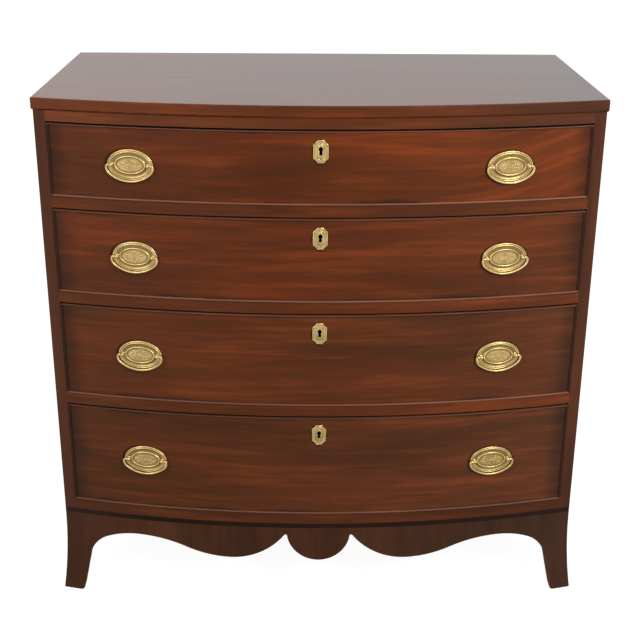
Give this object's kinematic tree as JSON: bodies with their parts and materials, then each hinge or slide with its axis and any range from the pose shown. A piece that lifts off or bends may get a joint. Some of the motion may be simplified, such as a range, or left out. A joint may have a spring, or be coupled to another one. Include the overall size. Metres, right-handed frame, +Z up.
{
  "type": "bow front chest of drawers",
  "caption": "Bow front chest of graduated cockbeaded drawers on splayed bracket feet with a scalloped apron, oval bail pulls and let-in keyhole plates.",
  "frame": {"origin": "on the floor, under the middle of the chest", "axes": "+Z up, the bowed front faces -Y, +X to the right seen from the back of the room, that is to the viewer's right when looking at the front"},
  "size_m": [1.0352, 0.5588, 1.0024],
  "materials": {
    "mahogany": "polished satin",
    "top_mahogany": "polished satin",
    "bead_mahogany": "polished satin",
    "ebonised_wood": "polished",
    "pine": "bare, aged",
    "oak": "bare, aged",
    "brass": "polished, worn",
    "lock_brass": "aged",
    "bolt_iron": "dull"
  },
  "bodies": {
    "case": {"top_board": "top_mahogany", "case_side_left": "mahogany", "case_side_right": "mahogany", "case_back": "pine", "top_rails": "pine", "drawer_rails": "mahogany", "dust_panels": "pine", "drawer_runners": "pine", "base_band": "ebonised_wood", "apron_front": "mahogany", "side_aprons": "mahogany", "foot_blocks": "pine"},
    "drawer_1": {"drawer_1_front": "mahogany", "drawer_1_sides": "oak", "drawer_1_back": "oak", "drawer_1_bottom": "oak", "drawer_1_cockbeads": "bead_mahogany", "drawer_1_pull_plates": "brass", "drawer_1_pull_posts": "brass", "drawer_1_escutcheon": "brass", "drawer_1_lock": "lock_brass"},
    "drawer_1_bail_left": {"drawer_1_bail_left": "brass"},
    "drawer_1_bail_right": {"drawer_1_bail_right": "brass"},
    "drawer_1_lock_bolt": {"drawer_1_lock_bolt": "bolt_iron"},
    "drawer_2": {"drawer_2_front": "mahogany", "drawer_2_sides": "oak", "drawer_2_back": "oak", "drawer_2_bottom": "oak", "drawer_2_cockbeads": "bead_mahogany", "drawer_2_pull_plates": "brass", "drawer_2_pull_posts": "brass", "drawer_2_escutcheon": "brass", "drawer_2_lock": "lock_brass"},
    "drawer_2_bail_left": {"drawer_2_bail_left": "brass"},
    "drawer_2_bail_right": {"drawer_2_bail_right": "brass"},
    "drawer_2_lock_bolt": {"drawer_2_lock_bolt": "bolt_iron"},
    "drawer_3": {"drawer_3_front": "mahogany", "drawer_3_sides": "oak", "drawer_3_back": "oak", "drawer_3_bottom": "oak", "drawer_3_cockbeads": "bead_mahogany", "drawer_3_pull_plates": "brass", "drawer_3_pull_posts": "brass", "drawer_3_escutcheon": "brass", "drawer_3_lock": "lock_brass"},
    "drawer_3_bail_left": {"drawer_3_bail_left": "brass"},
    "drawer_3_bail_right": {"drawer_3_bail_right": "brass"},
    "drawer_3_lock_bolt": {"drawer_3_lock_bolt": "bolt_iron"},
    "drawer_4": {"drawer_4_front": "mahogany", "drawer_4_sides": "oak", "drawer_4_back": "oak", "drawer_4_bottom": "oak", "drawer_4_cockbeads": "bead_mahogany", "drawer_4_pull_plates": "brass", "drawer_4_pull_posts": "brass", "drawer_4_escutcheon": "brass", "drawer_4_lock": "lock_brass"},
    "drawer_4_bail_left": {"drawer_4_bail_left": "brass"},
    "drawer_4_bail_right": {"drawer_4_bail_right": "brass"},
    "drawer_4_lock_bolt": {"drawer_4_lock_bolt": "bolt_iron"}
  },
  "joints": [
    {"name": "drawer_1_slide", "type": "slide", "parent": "case", "child": "drawer_1", "axis": [0, -1, 0], "range_m": [0, 0.34]},
    {"name": "drawer_1_bail_left_hinge", "type": "hinge", "parent": "drawer_1", "child": "drawer_1_bail_left", "pos_m": [-0.33474, -0.25365, 0.8914], "axis": [-0.9858, 0.1682, 0], "range_deg": [0, 170]},
    {"name": "drawer_1_bail_right_hinge", "type": "hinge", "parent": "drawer_1", "child": "drawer_1_bail_right", "pos_m": [0.33474, -0.25365, 0.8914], "axis": [-0.9858, -0.1682, 0], "range_deg": [0, 170]},
    {"name": "drawer_1_lock_bolt_slide", "type": "slide", "parent": "drawer_1", "child": "drawer_1_lock_bolt", "axis": [0, 0, 1], "range_m": [0, 0.007]},
    {"name": "drawer_2_slide", "type": "slide", "parent": "case", "child": "drawer_2", "axis": [0, -1, 0], "range_m": [0, 0.34]},
    {"name": "drawer_2_bail_left_hinge", "type": "hinge", "parent": "drawer_2", "child": "drawer_2_bail_left", "pos_m": [-0.33474, -0.25365, 0.7224], "axis": [-0.9858, 0.1682, 0], "range_deg": [0, 170]},
    {"name": "drawer_2_bail_right_hinge", "type": "hinge", "parent": "drawer_2", "child": "drawer_2_bail_right", "pos_m": [0.33474, -0.25365, 0.7224], "axis": [-0.9858, -0.1682, 0], "range_deg": [0, 170]},
    {"name": "drawer_2_lock_bolt_slide", "type": "slide", "parent": "drawer_2", "child": "drawer_2_lock_bolt", "axis": [0, 0, 1], "range_m": [0, 0.007]},
    {"name": "drawer_3_slide", "type": "slide", "parent": "case", "child": "drawer_3", "axis": [0, -1, 0], "range_m": [0, 0.34]},
    {"name": "drawer_3_bail_left_hinge", "type": "hinge", "parent": "drawer_3", "child": "drawer_3_bail_left", "pos_m": [-0.33474, -0.25365, 0.5294], "axis": [-0.9858, 0.1682, 0], "range_deg": [0, 170]},
    {"name": "drawer_3_bail_right_hinge", "type": "hinge", "parent": "drawer_3", "child": "drawer_3_bail_right", "pos_m": [0.33474, -0.25365, 0.5294], "axis": [-0.9858, -0.1682, 0], "range_deg": [0, 170]},
    {"name": "drawer_3_lock_bolt_slide", "type": "slide", "parent": "drawer_3", "child": "drawer_3_lock_bolt", "axis": [0, 0, 1], "range_m": [0, 0.007]},
    {"name": "drawer_4_slide", "type": "slide", "parent": "case", "child": "drawer_4", "axis": [0, -1, 0], "range_m": [0, 0.34]},
    {"name": "drawer_4_bail_left_hinge", "type": "hinge", "parent": "drawer_4", "child": "drawer_4_bail_left", "pos_m": [-0.33474, -0.25365, 0.3099], "axis": [-0.9858, 0.1682, 0], "range_deg": [0, 170]},
    {"name": "drawer_4_bail_right_hinge", "type": "hinge", "parent": "drawer_4", "child": "drawer_4_bail_right", "pos_m": [0.33474, -0.25365, 0.3099], "axis": [-0.9858, -0.1682, 0], "range_deg": [0, 170]},
    {"name": "drawer_4_lock_bolt_slide", "type": "slide", "parent": "drawer_4", "child": "drawer_4_lock_bolt", "axis": [0, 0, 1], "range_m": [0, 0.007]}
  ]
}
